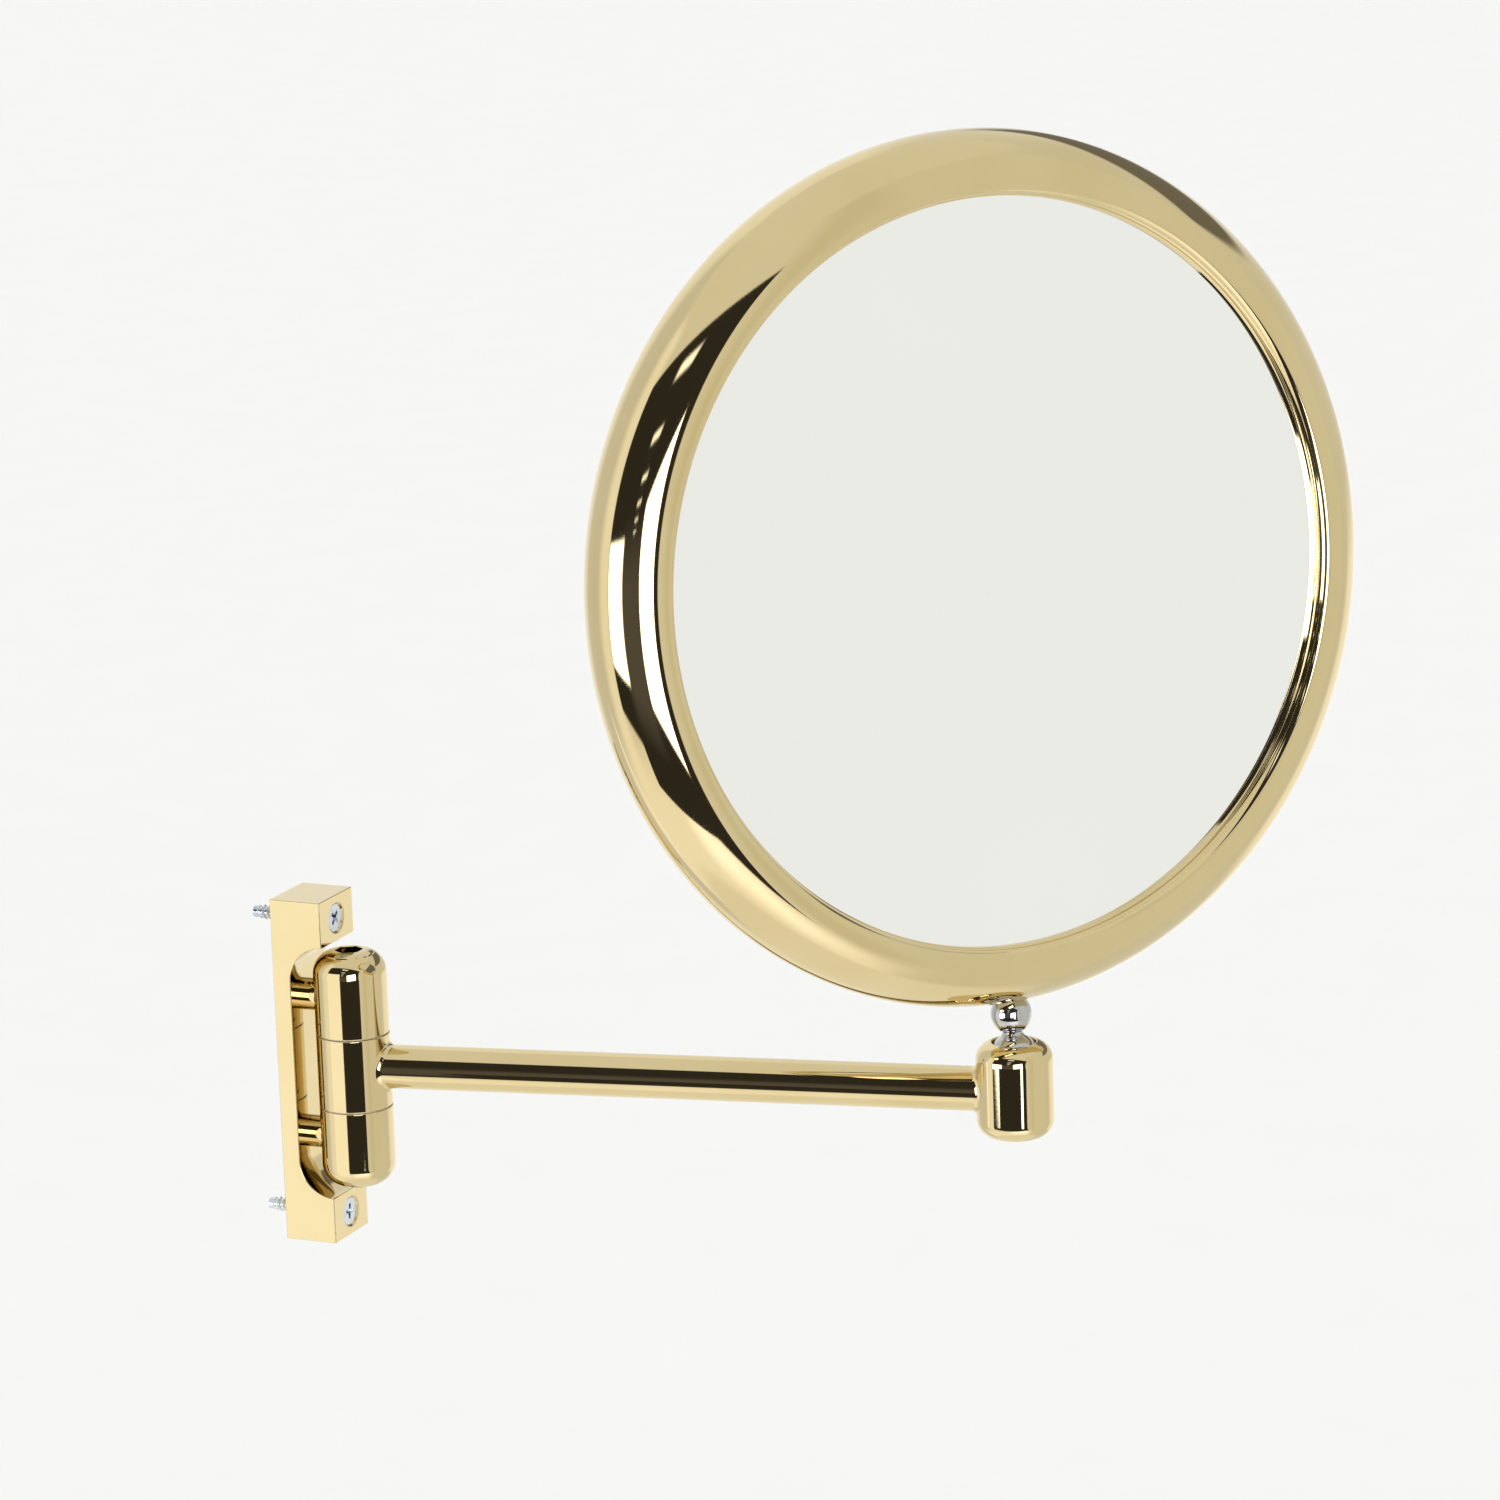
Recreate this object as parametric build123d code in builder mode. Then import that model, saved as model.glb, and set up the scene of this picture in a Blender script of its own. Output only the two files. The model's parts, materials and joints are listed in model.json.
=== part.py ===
from build123d import *
import os
from math import atan2, cos, degrees, radians, sin, sqrt

# Extendable shaving mirror.  Origin: centre of the wall plate's back face.
# +Y points into the wall, +X to the right and +Z up, for someone facing the wall.

# ---------------------------------------------------------------- driving dimensions, mm and degrees
run = 0.05                 # running clearance between turning parts

# wall plate: a bar with a slot milled across its front
plate_width = 19.0
plate_depth = 15.2
plate_height = 96.0
slot_height = 70.6
slot_depth = 10.0          # also the radius of the slot's round ends
wall_screw_spacing = 83.2

# wall screws, countersunk
wall_hole_r = 2.5
countersink_r = 4.35
screw_head_r = 3.85
screw_neck_r = 2.3         # plain part inside the plate
screw_thread_r = 2.0       # part that stands out of the plate's back
screw_length = 25.0
recess_arm = 4.6           # cross recess, tip to tip
recess_width = 1.0
recess_depth = 1.8
recess_taper = 12           # degrees
screw_point_length = 2.4
screw_point_r = 0.3

# barrel hinge
hinge_offset = 18.5        # hinge axis in front of the wall
barrel_r = 10.1
barrel_length = 66.0
barrel_end_r = 6.3         # rolled-over ends
seam_top = 9.8             # faces of the moving knuckle
seam_bottom = -10.4
washer_thickness = 0.3
washer_recess = 0.5        # how far a washer stays inside the barrel's surface
post_r = 4.4
post_spacing = 39.0
post_grip = 2.8            # how deep a post sits in its knuckle
post_screw_head_r = 3.6
post_screw_r = 2.0
post_screw_sink = 0.3      # heads sit below the plate's back face
post_screw_end = 10.8      # their ends, in front of the wall
post_hex = 2.5             # across flats
post_hex_depth = 1.6
bolt_r = 4.0
bolt_head_r = 7.0
bolt_head_length = 9.0
bolt_end_height = 8.0      # the bolt's end, above the barrel's lower end
washer_bore_play = 0.3     # room round the bolt in its washers and springs
spring_room = 2.4          # height of the disc springs under the bolt's head
spring_thickness = 0.6
hinge_hex = 6.7            # across flats
hex_depth = 6.0
bush_r = 5.5

# arm
arm_yaw = 10.35            # turned from straight out, as the hinge stands at rest
arm_r = 6.0
arm_bore_r = 4.5
arm_length = 183.0         # hinge axis to ball housing axis
arm_z = 0.4
spigot_length = 14.0
spigot_stub_r = 3.2
stub_overlap = 1.0         # how far a spigot's stub starts inside its full-width part

# ball housing and what it holds
housing_r = 10.4
housing_top = 13.9
housing_bottom = -12.1
housing_shoulder_r = 5.0
housing_foot_r = 4.8
mouth_r = 5.9
cavity_r = 8.4
cavity_top = 13.1
cavity_shoulder_r = 3.1
plug_top = -6.5
plug_hex = 6.0
plug_hex_depth = 3.5
ball_r = 6.5
ball_z = 9.7
liner_thickness = 0.5
liner_top_angle = 88.0     # measured from straight up
liner_bottom_angle = 160.0
seat_bottom = 1.2
seat_top_above_ball = 2.8
seat_lip_above_ball = 2.2
thrust_thickness = 1.6
thrust_bore_r = 2.0
seat_drain_r = 1.5         # hole in the bottom of the seat
seat_spring_r = 3.2        # inner radius of the disc springs
seat_spring_thickness = 0.7
seat_spring_count = 4

# ball stud
knob_r = 5.5               # upper ball
knob_above_ball = 11.6
collar_r = 3.5
neck_r = 2.5
neck_fillet = 1.2
knob_in_rim = 2.2          # how far the upper ball reaches into the rim
stud_thread_r = 3.0
stud_length = 30.5         # from the ball's centre

# mirror head: a hollow ring round two glasses
mirror_yaw = -36.51        # which way it faces at rest, turned from straight out
mirror_tilt = 4.81         # faces up by this much at rest
ring_r = 100.0             # radius of the ring's centre line
tube_r = 15.0              # radius of the ring's round section
shell_thickness = 1.2
opening_r = 98.4           # inner wall of the shells
edge_r = 2.2               # rounded edge between crest and inner wall
glass_face = 10.4          # glass face in front of the ring's middle plane
bezel_height = 1.6
bezel_lip_r = 97.7
bezel_outer_r = 104.0
bezel_round_r = 0.7
glass_r = 101.5
glass_thickness = 3.0
rear_glass_curve_r = 900.0  # concave magnifying glass
front_backing_thickness = 1.5
rear_backing_thickness = 1.2
boss_r = 5.5
boss_length = 9.7
stud_washer_thickness = 0.8
nut_height = 3.2
nut_across_flats = 10.0
joint_band_width = 8.0
glass_chamfer = 0.4
spacer_inner_r = 92.0
spacer_outer_r = 98.5
centre_pad_r = 30.0

# ---------------------------------------------------------------- derived places
hinge_point = Vector(0, -hinge_offset, 0)
hinge_axis = Axis(hinge_point, (0, 0, 1))
hinge_section = Plane(origin=hinge_point, x_dir=(1, 0, 0), z_dir=(0, -1, 0))
slot_floor = plate_depth - slot_depth

arm_direction = Vector(sin(radians(arm_yaw)), -cos(radians(arm_yaw)), 0)
arm_start = hinge_point + Vector(0, 0, arm_z)
arm_cross = Plane(origin=arm_start, x_dir=(0, 0, 1), z_dir=arm_direction)

housing_point = hinge_point + arm_direction * arm_length
housing_axis = Axis(housing_point, (0, 0, 1))
housing_section = Plane(origin=housing_point, x_dir=(1, 0, 0), z_dir=(0, -1, 0))
ball_centre = housing_point + Vector(0, 0, ball_z)

yaw = radians(mirror_yaw)
tilt = radians(mirror_tilt)
mirror_normal = Vector(sin(yaw) * cos(tilt), -cos(yaw) * cos(tilt), sin(tilt))
mirror_side = Vector(cos(yaw), sin(yaw), 0)
mirror_up = mirror_normal.cross(mirror_side)

stud_axis = Axis(ball_centre, mirror_up)
stud_cross = Plane(origin=ball_centre, x_dir=mirror_side, z_dir=mirror_up)
stud_section = Plane(origin=ball_centre, x_dir=mirror_side, z_dir=mirror_side.cross(mirror_up))
knob_centre = ball_centre + mirror_up * knob_above_ball
rim_foot = knob_above_ball + knob_r - knob_in_rim   # lowest point of the ring, along the stud
ring_centre = ball_centre + mirror_up * (rim_foot + tube_r + ring_r)
ring_plane = Plane(origin=ring_centre, x_dir=mirror_side, z_dir=mirror_normal)
ring_axis = Axis(ring_centre, mirror_normal)
ring_section = Plane(
    origin=ring_centre, x_dir=mirror_side, z_dir=mirror_side.cross(mirror_normal)
)
inner_tube_r = tube_r - shell_thickness

finished = []


def finish(builder, name):
    """Label a finished piece and remember it for export."""
    builder.part.label = name
    finished.append(builder.part)


def outline(*points):
    """A flat face with straight sides, in the sketch that is being drawn."""
    Polygon(*points, align=None)


# ---------------------------------------------------------------- wall plate and its screws
front = -plate_depth
screw_heights = (wall_screw_spacing / 2, -wall_screw_spacing / 2)
post_heights = (post_spacing / 2, -post_spacing / 2)

with BuildPart() as wall_plate:
    with Locations((0, -plate_depth / 2, 0)):
        Box(plate_width, plate_depth, plate_height)
    slot_edge = slot_height / 2
    floor_edge = slot_edge - slot_depth
    with BuildSketch(Plane.YZ):
        with BuildLine():
            Line((front, -slot_edge), (front, slot_edge))
            RadiusArc((front, slot_edge), (-slot_floor, floor_edge), slot_depth)
            Line((-slot_floor, floor_edge), (-slot_floor, -floor_edge))
            RadiusArc((-slot_floor, -floor_edge), (front, -slot_edge), slot_depth)
        make_face()
    extrude(amount=plate_width, both=True, mode=Mode.SUBTRACT)
    for height in screw_heights:
        with Locations(Plane(origin=(0, front, height), z_dir=(0, -1, 0))):
            CounterSinkHole(wall_hole_r, countersink_r, counter_sink_angle=90)
    for height in post_heights:
        with Locations(Plane(origin=(0, 0, height), z_dir=(0, 1, 0))):
            CounterSinkHole(
                post_screw_r + 2 * run, post_screw_head_r + post_screw_sink, counter_sink_angle=90
            )
finish(wall_plate, "wall_plate")

head_sink = countersink_r - screw_head_r       # the head drops this far into its countersink
head_face = front + head_sink
cone_end = head_face + screw_head_r - screw_neck_r
screw_tip = head_face + screw_length
with BuildPart() as wall_screws:
    for height in screw_heights:
        screw_section = Plane(origin=(0, 0, height), x_dir=(1, 0, 0), z_dir=(0, 0, 1))
        with BuildSketch(screw_section):
            outline(
                (0, head_face),
                (screw_head_r, head_face),
                (screw_neck_r, cone_end),
                (screw_neck_r, 0),
                (screw_thread_r, screw_neck_r - screw_thread_r),
                (screw_thread_r, screw_tip - screw_point_length),
                (screw_point_r, screw_tip),
                (0, screw_tip),
            )
        revolve(axis=Axis((0, 0, height), (0, 1, 0)))
    for height in screw_heights:
        with BuildSketch(Plane(origin=(0, head_face, height), z_dir=(0, -1, 0))):
            for turn in (0, 90):
                Rectangle(recess_arm, recess_width, rotation=turn)
        extrude(amount=-recess_depth, taper=recess_taper, mode=Mode.SUBTRACT)
finish(wall_screws, "wall_screws")

# ---------------------------------------------------------------- fixed knuckles and their posts
barrel_back = -hinge_offset + barrel_r
post_end = barrel_back - post_grip
for name, height in zip(("upper_post", "lower_post"), post_heights):
    with BuildPart() as post:
        with BuildSketch(Plane(origin=(0, -slot_floor, height), z_dir=(0, -1, 0))):
            Circle(post_r)
            Circle(post_screw_r, mode=Mode.SUBTRACT)
        extrude(amount=-slot_floor - post_end)
    finish(post, name)

with BuildPart() as post_screws:
    for height in post_heights:
        with BuildSketch(Plane(origin=(0, 0, height), x_dir=(1, 0, 0), z_dir=(0, 0, 1))):
            outline(
                (0, -post_screw_sink),
                (post_screw_head_r, -post_screw_sink),
                (post_screw_r, -post_screw_sink - post_screw_head_r + post_screw_r),
                (post_screw_r, -post_screw_end),
                (0, -post_screw_end),
            )
        revolve(axis=Axis((0, 0, height), (0, 1, 0)))
    for height in post_heights:
        with BuildSketch(Plane(origin=(0, -post_screw_sink, height), z_dir=(0, 1, 0))):
            RegularPolygon(post_hex / 2, 6, major_radius=False)
        extrude(amount=-post_hex_depth, mode=Mode.SUBTRACT)
finish(post_screws, "post_screws")


def barrel_blank():
    """The whole barrel as one round bar with rolled-over ends."""
    with Locations(hinge_point):
        Cylinder(barrel_r, barrel_length)
    fillet(edges().filter_by(GeomType.CIRCLE), barrel_end_r)


def bore(radius, low, high, mode=Mode.SUBTRACT):
    """A cylinder on the hinge axis between two heights."""
    with Locations(hinge_point + Vector(0, 0, low)):
        Cylinder(radius, high - low, align=(Align.CENTER, Align.CENTER, Align.MIN), mode=mode)


def post_socket(height):
    """The blind hole in a knuckle that takes its post."""
    with BuildSketch(Plane(origin=(0, post_end, height), z_dir=(0, 1, 0))) as socket:
        Circle(post_r)
    extrude(socket.sketch, amount=barrel_r, mode=Mode.SUBTRACT)


barrel_top = barrel_length / 2
head_bottom = barrel_top - bolt_head_length
upper_face = seam_top + washer_thickness
lower_face = seam_bottom - washer_thickness
bolt_end = -barrel_top + bolt_end_height

with BuildPart() as upper_knuckle:
    barrel_blank()
    split(bisect_by=Plane.XY.offset(upper_face), keep=Keep.TOP)
    bore(bolt_r + run, upper_face, barrel_top)
    bore(bolt_head_r, head_bottom - spring_room, barrel_top)
    post_socket(post_heights[0])
finish(upper_knuckle, "upper_knuckle")

with BuildPart() as lower_knuckle:
    barrel_blank()
    split(bisect_by=Plane.XY.offset(lower_face), keep=Keep.BOTTOM)
    bore(bolt_r, bolt_end, lower_face)
    post_socket(post_heights[1])
finish(lower_knuckle, "lower_knuckle")

with BuildPart() as hinge_bolt:
    barrel_blank()
    bore(bolt_head_r, head_bottom, barrel_top, mode=Mode.INTERSECT)
    bore(bolt_r, bolt_end, head_bottom, mode=Mode.ADD)
    with BuildSketch(Plane(origin=hinge_point + Vector(0, 0, barrel_top))):
        RegularPolygon(hinge_hex / 2, 6, major_radius=False, rotation=30)
    extrude(amount=-hex_depth, mode=Mode.SUBTRACT)
finish(hinge_bolt, "hinge_bolt")


def disc_springs(section, axis, inner_r, outer_r, thickness, low, high, count):
    """A stack of dished washers, dished up and down by turns."""
    pitch = (high - low) / count
    for step in range(count):
        base = low + step * pitch
        inner_z = base + pitch - thickness if step % 2 == 0 else base
        outer_z = base if step % 2 == 0 else base + pitch - thickness
        with BuildSketch(section) as dish:
            outline(
                (inner_r, inner_z),
                (outer_r, outer_z),
                (outer_r, outer_z + thickness),
                (inner_r, inner_z + thickness),
            )
        revolve(dish.sketch, axis=axis)


with BuildPart() as hinge_spring:
    disc_springs(
        hinge_section, hinge_axis, bolt_r + washer_bore_play, bolt_head_r - 4 * run,
        spring_thickness, head_bottom - spring_room, head_bottom - run, 2,
    )
finish(hinge_spring, "hinge_spring")

washer_r = barrel_r - washer_recess
for name, low in (("upper_washer", seam_top + run), ("lower_washer", lower_face)):
    with BuildPart() as washer:
        with BuildSketch(Plane(origin=hinge_point + Vector(0, 0, low))):
            Circle(washer_r)
            Circle(bolt_r + washer_bore_play, mode=Mode.SUBTRACT)
        extrude(amount=washer_thickness - run)
    finish(washer, name)

# ---------------------------------------------------------------- swinging arm
with BuildPart() as arm_knuckle:
    bore(barrel_r, seam_bottom, seam_top, mode=Mode.ADD)
    bore(bush_r, seam_bottom, seam_top)
    with BuildSketch(arm_cross):
        Circle(spigot_stub_r)
    extrude(amount=barrel_r + stub_overlap, mode=Mode.SUBTRACT)
finish(arm_knuckle, "arm_knuckle")

with BuildPart() as hinge_bush:
    bore(bush_r, seam_bottom, seam_top, mode=Mode.ADD)
    bore(bolt_r + run, seam_bottom, seam_top)
finish(hinge_bush, "hinge_bush")


def housing_column(radius, low, high, mode=Mode.SUBTRACT):
    """A cylinder on the ball housing's axis between two heights."""
    with Locations(housing_point + Vector(0, 0, low)):
        Cylinder(radius, high - low, align=(Align.CENTER, Align.CENTER, Align.MIN), mode=mode)


reach = 20.0               # taller than anything that crosses the arm
with BuildPart() as arm_tube:
    with BuildSketch(arm_cross):
        Circle(arm_r)
        Circle(arm_bore_r, mode=Mode.SUBTRACT)
    extrude(amount=arm_length)
    bore(barrel_r, -reach, reach)
    housing_column(housing_r, -reach, reach)
finish(arm_tube, "arm_tube")

with BuildPart() as knuckle_spigot:
    with BuildSketch(arm_cross.offset(barrel_r)):
        Circle(arm_bore_r)
    extrude(amount=spigot_length)
    with BuildSketch(arm_cross):
        Circle(spigot_stub_r)
    extrude(amount=barrel_r + stub_overlap)
    bore(bush_r, -reach, reach)
finish(knuckle_spigot, "knuckle_spigot")

with BuildPart() as socket_spigot:
    with BuildSketch(arm_cross.offset(arm_length - housing_r - spigot_length)):
        Circle(arm_bore_r)
    extrude(amount=spigot_length)
    with BuildSketch(arm_cross.offset(arm_length - housing_r - stub_overlap)):
        Circle(spigot_stub_r)
    extrude(amount=housing_r)
    housing_column(cavity_r, -reach, reach)
finish(socket_spigot, "socket_spigot")


# ---------------------------------------------------------------- ball housing
def housing_blank():
    """The ball housing as one solid turned piece."""
    housing_column(housing_r, housing_bottom, housing_top, mode=Mode.ADD)
    fillet(edges().filter_by(GeomType.CIRCLE).sort_by(Axis.Z)[-1], housing_shoulder_r)
    fillet(edges().filter_by(GeomType.CIRCLE).sort_by(Axis.Z)[0], housing_foot_r)


def turned_cup(radius, low, high, shoulder, mode):
    """A round plug with a rounded shoulder, on the housing's axis."""
    with BuildSketch(housing_section) as half:
        with BuildLine():
            Line((0, low), (radius, low))
            Line((radius, low), (radius, high - shoulder))
            CenterArc((radius - shoulder, high - shoulder), shoulder, 0, 90)
            Line((radius - shoulder, high), (0, high))
            Line((0, high), (0, low))
        make_face()
    revolve(half.sketch, axis=housing_axis, mode=mode)


with BuildPart() as ball_housing:
    housing_blank()
    turned_cup(cavity_r, housing_bottom, cavity_top, cavity_shoulder_r, Mode.SUBTRACT)
    housing_column(mouth_r, 0, housing_top)
    with BuildSketch(arm_cross.offset(arm_length - housing_r - stub_overlap)):
        Circle(spigot_stub_r)
    extrude(amount=housing_r, mode=Mode.SUBTRACT)
finish(ball_housing, "ball_housing")

with BuildPart() as housing_plug:
    housing_blank()
    housing_column(cavity_r, housing_bottom, plug_top, mode=Mode.INTERSECT)
    with BuildSketch(Plane(origin=housing_point + Vector(0, 0, housing_bottom))):
        RegularPolygon(plug_hex / 2, 6, major_radius=False)
    extrude(amount=plug_hex_depth, mode=Mode.SUBTRACT)
finish(housing_plug, "housing_plug")

thrust_top = seat_bottom - run
with BuildPart() as seat_spring:
    disc_springs(
        housing_section, housing_axis, seat_spring_r, cavity_r - 8 * run, seat_spring_thickness,
        plug_top, thrust_top - thrust_thickness - run, seat_spring_count,
    )
finish(seat_spring, "seat_spring")

with BuildPart() as thrust_disc:
    housing_column(cavity_r - 2 * run, thrust_top - thrust_thickness, thrust_top, mode=Mode.ADD)
    housing_column(thrust_bore_r, thrust_top - thrust_thickness, thrust_top)
finish(thrust_disc, "thrust_disc")

# ---------------------------------------------------------------- ball seat and liner
seat_cavity_r = ball_r + liner_thickness + 2 * run
with BuildPart() as ball_seat:
    turned_cup(
        cavity_r - run, seat_bottom, cavity_top - run, cavity_shoulder_r - run, Mode.ADD
    )
    with Locations(ball_centre):
        Sphere(seat_cavity_r, mode=Mode.SUBTRACT)
    # the lip above the wide part of the cavity runs on the ball itself
    lip_low = ball_z + seat_lip_above_ball
    lip_high = ball_z + seat_top_above_ball
    housing_column(seat_cavity_r - 4 * run, lip_low, lip_high, mode=Mode.ADD)
    with Locations(ball_centre):
        Sphere(ball_r + run, mode=Mode.SUBTRACT)
    housing_column(cavity_r, lip_high, cavity_top)
    housing_column(seat_drain_r, seat_bottom, ball_z)
finish(ball_seat, "ball_seat")

liner_inner_r = ball_r + run
liner_outer_r = liner_inner_r + liner_thickness
with BuildPart() as ball_liner:
    with BuildSketch(housing_section):
        with BuildLine():
            sweep_angle = liner_top_angle - liner_bottom_angle
            start = 90 - liner_top_angle
            outer = CenterArc((0, ball_z), liner_outer_r, start, sweep_angle)
            inner = CenterArc((0, ball_z), liner_inner_r, start, sweep_angle)
            Line(outer @ 0, inner @ 0)
            Line(outer @ 1, inner @ 1)
        make_face()
    revolve(axis=housing_axis)
finish(ball_liner, "ball_liner")

# ---------------------------------------------------------------- ball stud and its fixing in the rim
collar_drop = sqrt(knob_r**2 - collar_r**2)
knob_top = rim_foot + shell_thickness - knob_above_ball
knob_top_r = sqrt(knob_r**2 - knob_top**2)
with BuildPart() as ball_stud:
    with Locations(ball_centre):
        Sphere(ball_r)
    with BuildSketch(stud_cross):
        Circle(neck_r)
    extrude(amount=knob_above_ball)
    fillet(edges().filter_by(GeomType.CIRCLE).sort_by(stud_axis)[-2], neck_fillet)
    with BuildSketch(stud_section):
        with BuildLine():
            start = degrees(atan2(-collar_drop, collar_r))
            end = degrees(atan2(knob_top, knob_top_r))
            ball_outline = CenterArc((0, knob_above_ball), knob_r, start, end - start)
            Line((0, knob_above_ball - collar_drop), ball_outline @ 0)
            Line((0, knob_above_ball + knob_top), ball_outline @ 1)
            Line((0, knob_above_ball - collar_drop), (0, knob_above_ball + knob_top))
        make_face()
    revolve(axis=stud_axis)
    with BuildSketch(stud_cross.offset(knob_above_ball)):
        Circle(stud_thread_r)
    extrude(amount=stud_length - knob_above_ball)
finish(ball_stud, "ball_stud")

boss_bottom = rim_foot + shell_thickness + run
boss_top = boss_bottom + boss_length
with BuildPart() as stud_boss:
    with BuildSketch(stud_cross.offset(boss_bottom)):
        Circle(boss_r)
        Circle(stud_thread_r, mode=Mode.SUBTRACT)
    extrude(amount=boss_length)
    with Locations(ring_plane):
        Torus(ring_r, inner_tube_r - run, mode=Mode.INTERSECT)
finish(stud_boss, "stud_boss")

washer_top = boss_top + stud_washer_thickness
with BuildPart() as stud_washer:
    with BuildSketch(stud_cross.offset(boss_top)):
        Circle(boss_r - 4 * run)
        Circle(stud_thread_r + 4 * run, mode=Mode.SUBTRACT)
    extrude(amount=stud_washer_thickness)
finish(stud_washer, "stud_washer")

with BuildPart() as stud_nut:
    with BuildSketch(stud_cross.offset(washer_top)):
        RegularPolygon(nut_across_flats / 2, 6, major_radius=False)
        Circle(stud_thread_r, mode=Mode.SUBTRACT)
    extrude(amount=nut_height)
finish(stud_nut, "stud_nut")

# ---------------------------------------------------------------- hollow rim
bezel_top = glass_face + bezel_height
edge_x = opening_r + edge_r
edge_y = sqrt((tube_r - edge_r) ** 2 - (edge_x - ring_r) ** 2)
crest_angle = degrees(atan2(edge_y, edge_x - ring_r))


def shell_outline(side):
    """Section of one half of the rim: a quarter-round sheet with a rolled edge and a short wall."""
    wall_x = opening_r + shell_thickness
    outer_arc = CenterArc((ring_r, 0), tube_r, 0, side * crest_angle)
    outer_edge = CenterArc(
        (edge_x, side * edge_y), edge_r, side * crest_angle, side * (180 - crest_angle)
    )
    Line(outer_edge @ 1, (opening_r, side * bezel_top))
    Line((opening_r, side * bezel_top), (wall_x, side * bezel_top))
    inner_edge = CenterArc(
        (edge_x, side * edge_y), edge_r - shell_thickness,
        side * crest_angle, side * (180 - crest_angle),
    )
    Line((wall_x, side * bezel_top), inner_edge @ 1)
    inner_arc = CenterArc((ring_r, 0), inner_tube_r, 0, side * crest_angle)
    Line(outer_arc @ 0, inner_arc @ 0)


for name, side in (("front_shell", 1), ("rear_shell", -1)):
    with BuildPart() as shell:
        with BuildSketch(ring_section):
            with BuildLine():
                shell_outline(side)
            make_face()
        revolve(axis=ring_axis)
        with Locations(knob_centre):
            Sphere(knob_r + run, mode=Mode.SUBTRACT)
        with BuildSketch(stud_cross.offset(knob_above_ball)):
            Circle(stud_thread_r + 4 * run)
        extrude(amount=2 * knob_r, mode=Mode.SUBTRACT)
    finish(shell, name)

with BuildPart() as joint_band:
    with BuildSketch(ring_section):
        with Locations((ring_r, 0)):
            Circle(inner_tube_r)
            Circle(inner_tube_r - shell_thickness, mode=Mode.SUBTRACT)
            Rectangle(
                2 * tube_r, joint_band_width, align=(Align.MIN, Align.CENTER), mode=Mode.INTERSECT
            )
    revolve(axis=ring_axis)
    with BuildSketch(stud_cross):
        Circle(boss_r + 2 * run)
    extrude(amount=rim_foot + tube_r, mode=Mode.SUBTRACT)
finish(joint_band, "joint_band")

for name, side in (("front_bezel", 1), ("rear_bezel", -1)):
    with BuildPart() as bezel:
        with BuildSketch(ring_section):
            round_x = bezel_lip_r + bezel_round_r
            round_y = side * (bezel_top - bezel_round_r)
            with BuildLine():
                Line((bezel_lip_r, side * glass_face), (bezel_outer_r, side * glass_face))
                Line((bezel_outer_r, side * glass_face), (bezel_outer_r, side * bezel_top))
                Line((bezel_outer_r, side * bezel_top), (round_x, side * bezel_top))
                CenterArc((round_x, round_y), bezel_round_r, side * 90, side * 90)
                Line((bezel_lip_r, round_y), (bezel_lip_r, side * glass_face))
            make_face()
        revolve(axis=ring_axis)
    finish(bezel, name)

# ---------------------------------------------------------------- glasses and what holds them apart
front_glass_back = glass_face - glass_thickness
front_backing_back = front_glass_back - front_backing_thickness


def flat_disc(radius, low, high):
    """A flat disc between two heights above the ring's middle plane."""
    with BuildSketch(ring_plane.offset(low)) as disc:
        Circle(radius)
    extrude(disc.sketch, amount=high - low)


with BuildPart() as front_glass:
    flat_disc(glass_r, front_glass_back, glass_face)
    chamfer(edges().filter_by(GeomType.CIRCLE), glass_chamfer)
finish(front_glass, "front_glass")

with BuildPart() as front_backing:
    flat_disc(glass_r, front_backing_back, front_glass_back)
finish(front_backing, "front_backing")

dish_depth = rear_glass_curve_r - sqrt(rear_glass_curve_r**2 - glass_r**2)


def dished_disc(face_level, thickness):
    """A disc with a hollow rear face; face_level is where that face meets its edge."""
    deep = face_level + dish_depth
    with BuildSketch(ring_section) as dish:
        with BuildLine():
            SagittaArc((-glass_r, face_level), (glass_r, face_level), dish_depth)
            SagittaArc(
                (-glass_r, face_level + thickness), (glass_r, face_level + thickness), dish_depth
            )
            Line((-glass_r, face_level), (-glass_r, face_level + thickness))
            Line((glass_r, face_level), (glass_r, face_level + thickness))
        make_face()
        with Locations((0, deep)):
            Rectangle(
                glass_r + 1, 4 * tube_r, align=(Align.MIN, Align.CENTER), mode=Mode.INTERSECT
            )
    revolve(dish.sketch, axis=ring_axis)


with BuildPart() as rear_glass:
    dished_disc(-glass_face, glass_thickness)
finish(rear_glass, "rear_glass")

with BuildPart() as rear_backing:
    dished_disc(-glass_face + glass_thickness, rear_backing_thickness)
finish(rear_backing, "rear_backing")

rear_backing_back = -glass_face + glass_thickness + rear_backing_thickness


def dish_at(radius):
    """How much higher the dished backing's inner face is at this radius than at its edge."""
    return dish_depth - rear_glass_curve_r + sqrt(rear_glass_curve_r**2 - radius**2)


with BuildPart() as spacer_ring:
    with BuildSketch(ring_section):
        outline(
            (spacer_inner_r, rear_backing_back + dish_at(spacer_inner_r) + run),
            (spacer_outer_r, rear_backing_back + dish_at(spacer_outer_r) + run),
            (spacer_outer_r, front_backing_back),
            (spacer_inner_r, front_backing_back),
        )
    revolve(axis=ring_axis)
finish(spacer_ring, "spacer_ring")

with BuildPart() as centre_pad:
    flat_disc(centre_pad_r, rear_backing_back + dish_depth + run, front_backing_back)
finish(centre_pad, "centre_pad")

# ---------------------------------------------------------------- export
os.makedirs("parts", exist_ok=True)
for piece in finished:
    export_step(piece, f"parts/{piece.label}.step")
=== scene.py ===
import json
from math import acos, asin, atan2, cos, degrees, hypot, pi, radians, sin, sqrt, tau

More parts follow.
